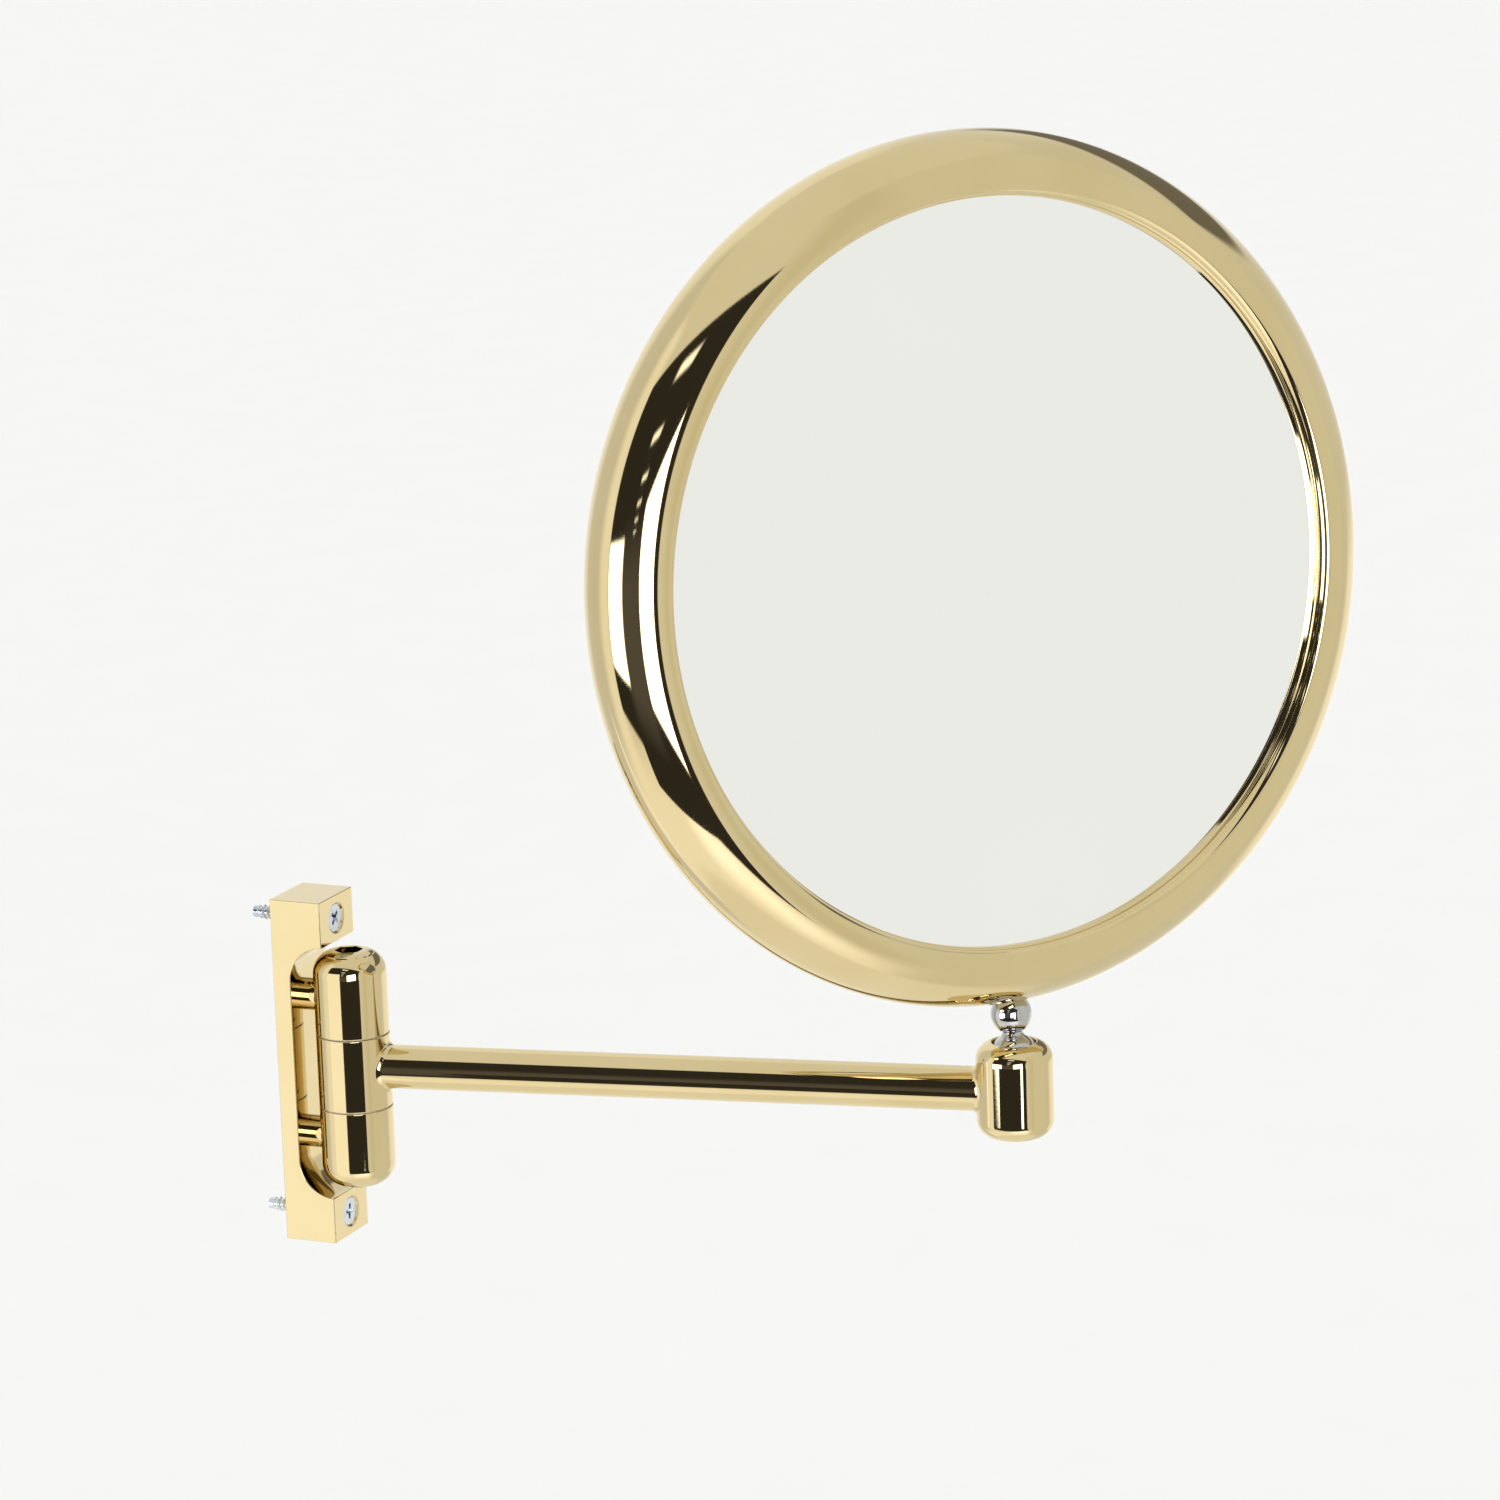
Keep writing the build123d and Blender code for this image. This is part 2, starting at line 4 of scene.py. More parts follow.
import bmesh
import bpy
from mathutils import Matrix, Vector


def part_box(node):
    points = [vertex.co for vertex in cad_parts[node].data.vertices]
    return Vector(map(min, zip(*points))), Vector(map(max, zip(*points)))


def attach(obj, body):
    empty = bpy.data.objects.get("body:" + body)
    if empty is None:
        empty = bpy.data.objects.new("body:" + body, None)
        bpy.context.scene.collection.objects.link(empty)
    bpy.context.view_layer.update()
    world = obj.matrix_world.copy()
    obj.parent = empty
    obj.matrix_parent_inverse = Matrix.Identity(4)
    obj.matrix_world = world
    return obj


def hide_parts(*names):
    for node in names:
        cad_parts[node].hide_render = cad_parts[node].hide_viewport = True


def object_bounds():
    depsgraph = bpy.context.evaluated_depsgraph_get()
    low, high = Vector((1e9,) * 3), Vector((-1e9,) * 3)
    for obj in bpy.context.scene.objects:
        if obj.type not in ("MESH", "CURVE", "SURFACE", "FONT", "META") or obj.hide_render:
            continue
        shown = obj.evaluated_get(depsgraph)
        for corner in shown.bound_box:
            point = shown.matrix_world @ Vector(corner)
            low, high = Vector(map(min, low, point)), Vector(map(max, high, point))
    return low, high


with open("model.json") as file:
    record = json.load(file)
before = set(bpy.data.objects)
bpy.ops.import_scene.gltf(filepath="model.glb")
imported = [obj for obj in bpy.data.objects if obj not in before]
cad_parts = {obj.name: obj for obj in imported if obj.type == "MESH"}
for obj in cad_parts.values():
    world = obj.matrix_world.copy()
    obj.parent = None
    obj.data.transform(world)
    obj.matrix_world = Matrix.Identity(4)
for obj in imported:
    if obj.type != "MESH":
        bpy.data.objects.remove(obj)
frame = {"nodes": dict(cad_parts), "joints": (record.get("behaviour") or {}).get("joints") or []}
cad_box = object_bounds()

# Extendable shaving mirror.  Pieces are drawn in millimetres about their own axes
# and put in the row frame, in metres, by piece().
MM = 0.001

# ------------------------------------------------------------------ places, from the frame
joints = {joint["name"]: joint for joint in frame["joints"]}
hinge_point = Vector(joints["arm_swing"]["pos_m"]) / MM
ball_centre = Vector(joints["mirror_swivel"]["pos_m"]) / MM
mirror_side = Vector(joints["mirror_tilt"]["axis"]).normalized()
UP = Vector((0, 0, 1))

mirror_tilt = radians(4.81)        # how far the mirror faces up at rest
facing = -Vector(joints["mirror_lean"]["axis"]).normalized()
if facing.dot(mirror_side.cross(UP)) < 0:
    facing = -facing
mirror_normal = facing * cos(mirror_tilt) + UP * sin(mirror_tilt)
mirror_up = mirror_normal.cross(mirror_side)


def node_box(name):
    """Lowest and highest corner of a CAD node, in millimetres."""
    low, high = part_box(name)
    return low / MM, high / MM


plate_low, plate_high = node_box("wall_plate")
knuckle_low, knuckle_high = node_box("arm_knuckle")
housing_low, housing_high = node_box("ball_housing")
plug_high = node_box("housing_plug")[1]
lower_low, lower_high = node_box("lower_knuckle")
upper_low = node_box("upper_knuckle")[0]
tube_low, tube_high = node_box("arm_tube")
bolt_low, bolt_high = node_box("hinge_bolt")
bush_low, bush_high = node_box("hinge_bush")

barrel_r = (knuckle_high.x - knuckle_low.x) / 2
bush_r = (bush_high.x - bush_low.x) / 2
barrel_top = bolt_high.z
barrel_bottom = lower_low.z
arm_r = (tube_high.z - tube_low.z) / 2
arm_z = (tube_high.z + tube_low.z) / 2
arm_line = Vector((ball_centre.x - hinge_point.x, ball_centre.y - hinge_point.y, 0))
arm_length = arm_line.length
arm_direction = arm_line.normalized()
housing_r = (housing_high.x - housing_low.x) / 2
housing_point = Vector((ball_centre.x, ball_centre.y, 0))

# ------------------------------------------------------------------ driving dimensions, mm
SEGMENTS = 96                      # round a small turned piece
RIM_SEGMENTS = 384                 # round the mirror head
EDGE = 0.25                        # broken edges of turned and milled brass

slot_height = 70.6
slot_r = 10.0
wall_screw_spacing = 83.2
countersink_r = 4.35
wall_hole_r = 2.5
screw_head_r = 3.85
screw_neck_r = 2.3                 # plain part inside the bar
screw_thread_r = 2.0
screw_thread_depth = 0.45
screw_pitch = 1.5
screw_length = 25.0
screw_point = 0.6                  # height of the screw's blunt point
recess_depth = 1.7
post_r = 4.4
post_spacing = 39.0
post_grip = 2.8
post_hole_r = 2.1                  # for the posts' screws, from the bar's back
post_sink_r = 3.9
barrel_end_r = 6.3
bolt_r = 4.0
bolt_head_r = 7.0
bolt_head_length = 9.0
hinge_hex = 6.7                    # across flats
hinge_hex_depth = 6.0
hex_break = 0.15                   # broken edge of a hexagonal socket
arm_fillet = 1.3                   # solder round each end of the arm
housing_bottom = -12.1
housing_top = 13.9
housing_shoulder_r = 5.0
housing_foot_r = 4.8
mouth_r = 5.9
cavity_r = 8.4
mouth_wall = 3.2                   # height of the mouth's inner wall
plug_hex = 6.0                     # across flats
plug_hex_depth = 3.5
plug_gap = 0.12                    # groove round the plug
ball_r = 6.5
knob_r = 5.5
knob_above_ball = 11.6
collar_r = 3.5
neck_r = 2.5
knob_in_rim = 2.2
ring_r = 100.0
rim_tube_r = 15.0
shell_thickness = 1.2
opening_r = 98.4
rim_edge_r = 2.2
glass_face = 10.4
bezel_height = 1.6
bezel_lip_r = 97.7
bezel_outer_r = 101.0              # its hidden edge, inside the shell
bezel_round_r = 0.7
bezel_inset = 0.02                 # keeps its faces off the glass and the shell's lip
glass_r = 101.5
glass_thickness = 3.0
glass_chamfer = 0.4
rear_glass_curve_r = 900.0

rim_foot = knob_above_ball + knob_r - knob_in_rim
ring_centre = ball_centre + mirror_up * (rim_foot + rim_tube_r + ring_r)


def standing(origin, x_axis, z_axis):
    """Matrix that puts a piece drawn about local Z at origin, in metres of the row frame."""
    z = z_axis.normalized()
    x = (x_axis - z * x_axis.dot(z)).normalized()
    y = z.cross(x)
    turn = Matrix((x, y, z)).transposed().to_4x4()
    return Matrix.Translation(origin * MM) @ turn @ Matrix.Scale(MM, 4)


AT_HINGE = standing(hinge_point, Vector((1, 0, 0)), UP)
AT_HOUSING = standing(housing_point, arm_direction, UP)
AT_STUD = standing(ball_centre, mirror_side, mirror_up)
AT_RING = standing(ring_centre, mirror_side, mirror_normal)
AT_PLATE = standing(Vector((0, 0, 0)), Vector((1, 0, 0)), UP)
AT_ARM = standing(hinge_point + UP * arm_z, UP, arm_direction)


# ------------------------------------------------------------------ materials
def shader(name):
    """A new node material with its principled shader and a way to add and join nodes."""
    made = bpy.data.materials.new(name)
    made.use_nodes = True
    tree = made.node_tree
    surface = tree.nodes["Principled BSDF"]

    def add(kind, inputs=(), **settings):
        node = tree.nodes.new(kind)
        for key, value in settings.items():
            setattr(node, key, value)
        for socket, value in dict(inputs).items():
            if isinstance(value, bpy.types.NodeSocket):
                tree.links.new(value, node.inputs[socket])
            else:
                node.inputs[socket].default_value = value
        return node

    def join(output, socket):
        tree.links.new(output, surface.inputs[socket])

    return made, surface, add, join


def ramp(add, factor, *stops):
    """A colour ramp with (place, colour) stops; returns its colour output."""
    node = add("ShaderNodeValToRGB", {"Fac": factor})
    bar = node.color_ramp
    while len(bar.elements) < len(stops):
        bar.elements.new(1.0)
    for element, (place, colour) in zip(bar.elements, stops):
        element.position = place
        element.color = (*colour, 1.0) if len(colour) == 3 else colour
    return node.outputs["Color"]


def grey(value):
    return (value, value, value)


def polished_metal(name, dark, light, rough_low, rough_high, scratch, stretch):
    """Plated and buffed metal: cloudy colour, faint buffing lines and a barely uneven face."""
    made, surface, add, join = shader(name)
    place = add("ShaderNodeTexCoord").outputs["Object"]
    cloud = add("ShaderNodeTexNoise", {"Vector": place, "Scale": 38.0, "Detail": 5.0})
    join(ramp(add, cloud.outputs["Fac"], (0.32, dark), (0.68, light)), "Base Color")
    lines = add("ShaderNodeMapping", {"Vector": place, "Scale": stretch})
    buff = add("ShaderNodeTexNoise", {"Vector": lines.outputs["Vector"], "Scale": 900.0,
                                      "Detail": 3.0})
    join(ramp(add, buff.outputs["Fac"], (0.3, grey(rough_low)), (0.75, grey(rough_high))),
         "Roughness")
    bump = add("ShaderNodeBump", {"Height": buff.outputs["Fac"], "Strength": scratch,
                                  "Distance": 0.00002})
    join(bump.outputs["Normal"], "Normal")
    surface.inputs["Metallic"].default_value = 1.0
    return made


def moulded(name, dark, light, rough_low, rough_high, grain, strength):
    """Plastic, foam or board with a fine grain."""
    made, _, add, join = shader(name)
    place = add("ShaderNodeTexCoord").outputs["Object"]
    noise = add("ShaderNodeTexNoise", {"Vector": place, "Scale": grain, "Detail": 6.0})
    join(ramp(add, noise.outputs["Fac"], (0.3, dark), (0.7, light)), "Base Color")
    join(ramp(add, noise.outputs["Fac"], (0.3, grey(rough_low)), (0.7, grey(rough_high))),
         "Roughness")
    bump = add("ShaderNodeBump", {"Height": noise.outputs["Fac"], "Strength": strength,
                                  "Distance": 0.0001})
    join(bump.outputs["Normal"], "Normal")
    return made


def silvered(name):
    """Silvered glass: near-perfect reflection, faintly green, with a few dust specks."""
    made, surface, add, join = shader(name)
    place = add("ShaderNodeTexCoord").outputs["Object"]
    haze = add("ShaderNodeTexNoise", {"Vector": place, "Scale": 14.0, "Detail": 4.0})
    specks = add("ShaderNodeTexVoronoi", {"Vector": place, "Scale": 95.0})
    join(ramp(add, haze.outputs["Fac"], (0.3, (0.950, 0.960, 0.965)), (0.7, (0.962, 0.972, 0.978))),
         "Base Color")
    join(ramp(add, specks.outputs["Distance"], (0.03, grey(0.16)), (0.06, grey(0.012))),
         "Roughness")
    surface.inputs["Metallic"].default_value = 1.0
    return made


ROUND_LINES = (1.0, 1.0, 9.0)
LONG_LINES = (9.0, 9.0, 1.0)
GOLD_DARK, GOLD_LIGHT = (0.690, 0.563, 0.305), (0.715, 0.590, 0.335)
materials = {
    "gold": polished_metal("polished_gold", GOLD_DARK, GOLD_LIGHT, 0.025, 0.06, 0.05, ROUND_LINES),
    "gold_long": polished_metal("polished_gold_long", GOLD_DARK, GOLD_LIGHT, 0.03, 0.07, 0.06,
                                LONG_LINES),
    "turned_brass": polished_metal("turned_brass", (0.62, 0.42, 0.16), (0.72, 0.52, 0.22),
                                   0.18, 0.34, 0.3, ROUND_LINES),
    "chrome": polished_metal("chrome", (0.44, 0.43, 0.42), (0.54, 0.53, 0.52), 0.06, 0.13, 0.05,
                             ROUND_LINES),
    "zinc": polished_metal("zinc_plate", (0.50, 0.55, 0.60), (0.68, 0.72, 0.76), 0.16, 0.32, 0.35,
                           ROUND_LINES),
    "spring": polished_metal("spring_steel", (0.16, 0.16, 0.17), (0.26, 0.26, 0.27), 0.25, 0.4,
                             0.3, ROUND_LINES),
    "glass": silvered("silvered_glass"),
    "nylon": moulded("nylon", (0.66, 0.63, 0.54), (0.76, 0.73, 0.64), 0.35, 0.5, 600.0, 0.1),
    "board": moulded("backing_board", (0.10, 0.10, 0.10), (0.16, 0.16, 0.16), 0.6, 0.8, 300.0,
                     0.3),
    "foam": moulded("closed_cell_foam", (0.16, 0.16, 0.17), (0.30, 0.30, 0.31), 0.8, 0.95, 1500.0,
                    0.8),
}


# ------------------------------------------------------------------ drawing
def piece(name, mesh_data, place, body, material, nodes=(), sharp=32, weighted=False):
    """Turn drawn mesh data into an object on its body; nodes are the CAD nodes it stands for.
    Weighted shading keeps the flat faces of a bevelled piece flat."""
    if isinstance(mesh_data, bmesh.types.BMesh):
        mesh = bpy.data.meshes.new(name)
        bmesh.ops.recalc_face_normals(mesh_data, faces=mesh_data.faces)
        mesh_data.to_mesh(mesh)
        mesh_data.free()
    else:
        mesh = mesh_data
        mesh.name = name
    mesh.transform(place)
    for face in mesh.polygons:
        face.use_smooth = True
    mesh.set_sharp_from_angle(angle=radians(sharp))
    mesh.materials.clear()
    mesh.materials.append(materials[material])
    made = bpy.data.objects.new(name, mesh)
    bpy.context.scene.collection.objects.link(made)
    if weighted:
        shading = made.modifiers.new("flat_faces", "WEIGHTED_NORMAL")
        shading.weight = 100
        shading.keep_sharp = True
    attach(made, body)
    if nodes:
        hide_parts(*nodes)
    return made


def arc(centre_x, centre_y, radius, start, end, steps=10):
    """Points along an arc, from one angle to another, in degrees."""
    points = []
    for step in range(steps + 1):
        angle = radians(start + (end - start) * step / steps)
        points.append((centre_x + radius * cos(angle), centre_y + radius * sin(angle)))
    return points


def crisp(points, closed=False, hold=0.06):
    """Add a point close to each end of every long straight, so that shading stays flat there.
    An end on the axis gets none, because so small a ring has uneven normals."""
    made = []
    count = len(points)
    for index, point in enumerate(points):
        made.append(point)
        if index == count - 1 and not closed:
            break
        following = points[(index + 1) % count]
        if callable(point[0]) or callable(following[0]):
            continue
        dx, dy = following[0] - point[0], following[1] - point[1]
        length = hypot(dx, dy)
        if length > 6 * hold:
            share = hold / length
            if point[0] > hold:
                made.append((point[0] + dx * share, point[1] + dy * share))
            if following[0] > hold:
                made.append((following[0] - dx * share, following[1] - dy * share))
    return made


def lathe(profile, segments=SEGMENTS, closed=False):
    """A turned body: (radius, height) points swept round local Z.  A radius may be a function
    of the angle, which is how hexagonal sockets are drawn."""
    mesh = bmesh.new()
    rings = []
    for radius, height in profile:
        if not callable(radius) and radius < 1e-6:
            rings.append([mesh.verts.new((0, 0, height))])
            continue
        ring = []
        for step in range(segments):
            angle = tau * step / segments
            reach = radius(angle) if callable(radius) else radius
            ring.append(mesh.verts.new((reach * cos(angle), reach * sin(angle), height)))
        rings.append(ring)
    pairs = list(zip(rings, rings[1:]))
    if closed:
        pairs.append((rings[-1], rings[0]))
    for first, second in pairs:
        for step in range(segments):
            after = (step + 1) % segments
            corners = [first[step % len(first)], first[after % len(first)],
                       second[after % len(second)], second[step % len(second)]]
            corners = list(dict.fromkeys(corners))
            if len(corners) > 2:
                mesh.faces.new(corners)
    return mesh


def hexagon(across_flats, turn=0.0):
    """Radius of a hexagon at an angle, for lathe()."""
    def radius(angle):
        part = (angle - turn) % (pi / 3) - pi / 6
        return across_flats / 2 / cos(part)
    return radius


def cut(body_mesh, *tools):
    """Boolean difference of drawn meshes, all in the same millimetre space."""
    def as_object(drawn):
        mesh = bpy.data.meshes.new("work")
        bmesh.ops.recalc_face_normals(drawn, faces=drawn.faces)
        drawn.to_mesh(mesh)
        drawn.free()
        made = bpy.data.objects.new("work", mesh)
        bpy.context.scene.collection.objects.link(made)
        return made

    body = as_object(body_mesh)
    cutters = [as_object(tool) for tool in tools]
    for cutter in cutters:
        step = body.modifiers.new("cut", "BOOLEAN")
        step.operation = "DIFFERENCE"
        step.solver = "EXACT"
        step.object = cutter
    bpy.context.view_layer.update()
    result = bpy.data.meshes.new_from_object(
        body.evaluated_get(bpy.context.evaluated_depsgraph_get()))
    for used in (body, *cutters):
        bpy.data.objects.remove(used)
    return result


def bevelled(mesh, width, angle=35, segments=3):
    """The mesh with its sharp edges rounded."""
    made = bpy.data.objects.new("work", mesh)
    bpy.context.scene.collection.objects.link(made)
    step = made.modifiers.new("edges", "BEVEL")
    step.width = width
    step.segments = segments
    step.limit_method = "ANGLE"
    step.angle_limit = radians(angle)
    step.harden_normals = False
    bpy.context.view_layer.update()
    result = bpy.data.meshes.new_from_object(
        made.evaluated_get(bpy.context.evaluated_depsgraph_get()))
    bpy.data.objects.remove(made)
    return result


def prism(points, low, high):
    """A closed outline of (y, z) points swept along X."""
    mesh = bmesh.new()
    near = [mesh.verts.new((low, *point)) for point in points]
    far = [mesh.verts.new((high, *point)) for point in points]
    mesh.faces.new(near)
    mesh.faces.new(far)
    for index in range(len(points)):
        after = (index + 1) % len(points)
        mesh.faces.new((near[index], near[after], far[after], far[index]))
    return mesh


def turned(mesh, matrix):
    """The drawn mesh moved by a matrix, in millimetres."""
    mesh.transform(matrix)
    return mesh


# ------------------------------------------------------------------ wall plate and its screws
def wall_plate():
    """A bar with a slot milled across its front, two countersunk holes for the wall screws, and
    two from behind for the screws of the hinge posts."""
    front = plate_low.y
    floor = front + slot_r
    top = plate_high.z
    half = slot_height / 2
    upper_end = arc(front, half - slot_r, slot_r, 90, 0, 24)
    lower_end = arc(front, slot_r - half, slot_r, 0, -90, 24)
    points = [(0, -top), (0, top), (front, top), *upper_end, *lower_end, (front, -top)]
    sink = countersink_r - wall_hole_r
    wall_drill = [(0, front - 1), (countersink_r + 1, front - 1), (wall_hole_r, front + sink),
                  (wall_hole_r, 1), (0, 1)]
    post_drill = [(0, floor - 1), (post_hole_r, floor - 1),
                  (post_hole_r, post_hole_r - post_sink_r), (post_sink_r + 1, 1), (0, 1)]
    drills = []
    for side in (1, -1):
        for profile, spacing in ((wall_drill, wall_screw_spacing), (post_drill, post_spacing)):
            place = Matrix.Translation((0, 0, side * spacing / 2))
            place = place @ Matrix.Rotation(-pi / 2, 4, "X")
            drills.append(turned(lathe(profile, 64), place))
    mesh = cut(prism(points, plate_low.x, plate_high.x), *drills)
    piece("wall_bar", bevelled(mesh, EDGE), AT_PLATE, "wall", "gold_long",
          ["wall_plate"], sharp=60, weighted=True)


def cross_cutter(depth):
    """Cross recess: two tapered arms, with shallow ticks between them."""
    def tapered(turn, top, bottom, deep):
        """A bar across the axis; top and bottom are its (length, width) there."""
        bar = bmesh.new()
        bmesh.ops.create_cube(bar, size=1.0)
        for vertex in bar.verts:
            is_deep = vertex.co.z < 0
            length, width = bottom if is_deep else top
            vertex.co = (vertex.co.x * length, vertex.co.y * width, -deep if is_deep else 0.5)
        return turned(bar, Matrix.Rotation(turn, 4, "Z"))

    arms = [tapered(turn, (4.6, 1.0), (2.6, 0.8), depth) for turn in (0, pi / 2)]
    ticks = [tapered(turn, (4.4, 0.32), (1.8, 0.1), 0.35) for turn in (pi / 4, 3 * pi / 4)]
    return arms + ticks


def threaded_rod(root_r, crest_r, pitch, start, end, steps_per_pitch=8, segments=40):
    """A screw thread whose ridge fades out at both ends, swept round local Z."""
    mesh = bmesh.new()
    rows = int((end - start) / pitch * steps_per_pitch)
    rings = []
    for row in range(rows + 1):
        height = start + (end - start) * row / rows
        fade = min(1.0, (height - start) / pitch, (end - height) / (2 * pitch))
        ring = []
        for step in range(segments):
            angle = tau * step / segments
            phase = (height / pitch - step / segments) % 1.0
            ridge = max(0.0, 1 - abs(phase - 0.5) / 0.3)
            reach = root_r + (crest_r - root_r) * ridge * max(fade, 0.0)
            ring.append(mesh.verts.new((reach * cos(angle), reach * sin(angle), height)))
        rings.append(ring)
    for first, second in zip(rings, rings[1:]):
        for step in range(segments):
            after = (step + 1) % segments
            mesh.faces.new((first[step], first[after], second[after], second[step]))
    mesh.faces.new(rings[0])
    tip = mesh.verts.new((0, 0, end + screw_point))
    for step in range(segments):
        mesh.faces.new((rings[-1][step], rings[-1][(step + 1) % segments], tip))
    return mesh


def wall_screws():
    """Two zinc-plated countersunk screws."""
    face = plate_low.y + countersink_r - screw_head_r
    neck_r = screw_neck_r
    thread_start = 0.3 - face
    for label, side in (("upper", 1), ("lower", -1)):
        profile = [(0, 0), (screw_head_r - 0.15, 0), (screw_head_r, 0.12),
                   (screw_head_r, 0.25), (neck_r, 0.25 + screw_head_r - neck_r),
                   (neck_r, thread_start), (0, thread_start)]
        head = lathe([(radius, -height) for radius, height in profile], 72)
        head = cut(head, *cross_cutter(recess_depth))
        place = standing(Vector((0, face, side * wall_screw_spacing / 2)),
                         Vector((1, 0, 0)), Vector((0, -1, 0)))
        spin = Matrix.Rotation(radians(20 + 27 * side), 4, "Z")
        piece(f"wall_screw_{label}", bevelled(head, 0.05, 30, 2), place @ spin, "wall", "zinc",
              ["wall_screws"], sharp=60, weighted=True)
        shank = threaded_rod(screw_thread_r - screw_thread_depth, screw_thread_r, screw_pitch,
                             thread_start, screw_length - screw_point)
        flip = Matrix.Rotation(pi, 4, "X")
        piece(f"wall_screw_thread_{label}", shank, place @ flip, "wall", "zinc")


# ------------------------------------------------------------------ barrel hinge
def hinge_posts():
    """Two short turned posts between the slot's floor and the fixed knuckles."""
    start = -(plate_low.y + slot_r)
    end = -(hinge_point.y + barrel_r - post_grip)
    for label, height in (("upper", post_spacing / 2), ("lower", -post_spacing / 2)):
        profile = [(0, start), (post_r, start), (post_r, end), (0, end)]
        place = standing(Vector((0, 0, height)), Vector((1, 0, 0)), Vector((0, -1, 0)))
        piece(f"hinge_post_{label}", lathe(crisp(profile)), place, "wall", "gold",
              [f"{label}_post"])


def barrel_surface(radius):
    """How far below the barrel's top its surface is, at a radius on the rounded end."""
    across = radius - (barrel_r - barrel_end_r)
    return barrel_end_r - sqrt(barrel_end_r ** 2 - across ** 2)


def broken_edge(radius, height, into):
    """A small round at an outer edge; into is +1 where the solid is above the edge."""
    start, end = (-90, 0) if into > 0 else (0, 90)
    return arc(radius - EDGE, height + into * EDGE, EDGE, start, end, 4)


def barrel():
    """Fixed knuckles, moving knuckle and hinge bolt."""
    seam = EDGE / 2
    socket = bolt_head_r + 0.06
    hidden_r = bolt_head_r - 2         # inner edge, inside the bolt's head
    shoulder_angle = degrees(acos((socket - barrel_r + barrel_end_r) / barrel_end_r))
    end_arc = arc(barrel_r - barrel_end_r, barrel_top - barrel_end_r, barrel_end_r,
                  shoulder_angle - 1, 0, 20)
    start_z = barrel_top - barrel_surface(socket)
    upper = [(socket, start_z - 4), (socket, start_z - 2 * seam), (socket + seam, start_z - seam),
             *end_arc, *reversed(broken_edge(barrel_r, upper_low.z, 1)),
             (hidden_r, upper_low.z), (hidden_r, start_z - 4)]
    piece("fixed_knuckle_upper", lathe(crisp(upper, True), closed=True), AT_HINGE, "wall", "gold",
          ["upper_knuckle"])

    foot_arc = [(radius, -height) for radius, height in
                arc(barrel_r - barrel_end_r, -barrel_bottom - barrel_end_r, barrel_end_r, 0, 90,
                    24)]
    lower = [(0, lower_high.z), *reversed(broken_edge(barrel_r, lower_high.z, -1)), *foot_arc,
             (0, barrel_bottom)]
    piece("fixed_knuckle_lower", lathe(crisp(lower)), AT_HINGE, "wall", "gold",
          ["lower_knuckle"])

    middle = [(bush_r, knuckle_high.z),
              *reversed(broken_edge(barrel_r, knuckle_high.z, -1)),
              *reversed(broken_edge(barrel_r, knuckle_low.z, 1)), (bush_r, knuckle_low.z)]
    piece("moving_knuckle", lathe(crisp(middle, True), closed=True), AT_HINGE, "arm", "gold",
          ["arm_knuckle"])

    rim = bolt_head_r - 2 * seam
    rim_angle = degrees(acos((rim - barrel_r + barrel_end_r) / barrel_end_r))
    cap = arc(barrel_r - barrel_end_r, barrel_top - barrel_end_r, barrel_end_r, 90, rim_angle, 12)
    hexagonal = hexagon(hinge_hex)
    wide_hexagonal = hexagon(hinge_hex + 2 * hex_break)
    socket_floor = barrel_top - hinge_hex_depth
    head_bottom = barrel_top - bolt_head_length
    head = [(0, socket_floor - 1.2), (hinge_hex / 2 - 0.4, socket_floor),
            (hexagonal, socket_floor), (hexagonal, barrel_top - hex_break),
            (wide_hexagonal, barrel_top - 0.001), *cap,
            (bolt_head_r, barrel_top - barrel_surface(bolt_head_r) - 2 * seam),
            (bolt_head_r, head_bottom), (bolt_r, head_bottom), (bolt_r, bolt_low.z),
            (0, bolt_low.z)]
    piece("hinge_bolt_head", lathe(crisp(head)), AT_HINGE, "wall", "gold",
          ["hinge_bolt"])


# ------------------------------------------------------------------ swinging arm
def arm():
    """Round tube whose ends are coped and soldered to the knuckle and the ball housing."""
    mesh = bmesh.new()
    steps = 10
    sunk = 0.02                    # how far the ends reach into what they are soldered to
    fillet = arm_fillet

    def ring(reach, far):
        """Ring of points at a distance from the knuckle's surface, or from the housing's."""
        slope = fillet - min(reach, fillet)
        radius = arm_r + fillet - sqrt(fillet ** 2 - slope ** 2)
        round_r = (housing_r if far else barrel_r) - sunk
        made = []
        for step in range(SEGMENTS):
            angle = tau * step / SEGMENTS
            up, across = radius * cos(angle), radius * sin(angle)
            along = sqrt(round_r ** 2 - across ** 2) + reach
            made.append(mesh.verts.new((up, across, arm_length - along if far else along)))
        return made

    stations = [fillet * (1 - cos(pi / 2 * step / steps)) for step in range(steps + 1)]
    stations += [fillet + 0.3, fillet + 6]
    rings = [ring(reach, False) for reach in stations]
    rings += [ring(reach, True) for reach in reversed(stations)]
    for first, second in zip(rings, rings[1:]):
        for step in range(SEGMENTS):
            after = (step + 1) % SEGMENTS
            mesh.faces.new((first[step], first[after], second[after], second[step]))
    mesh.faces.new(rings[0])
    mesh.faces.new(rings[-1])
    piece("swing_arm", mesh, AT_ARM, "arm", "gold_long", ["arm_tube"])


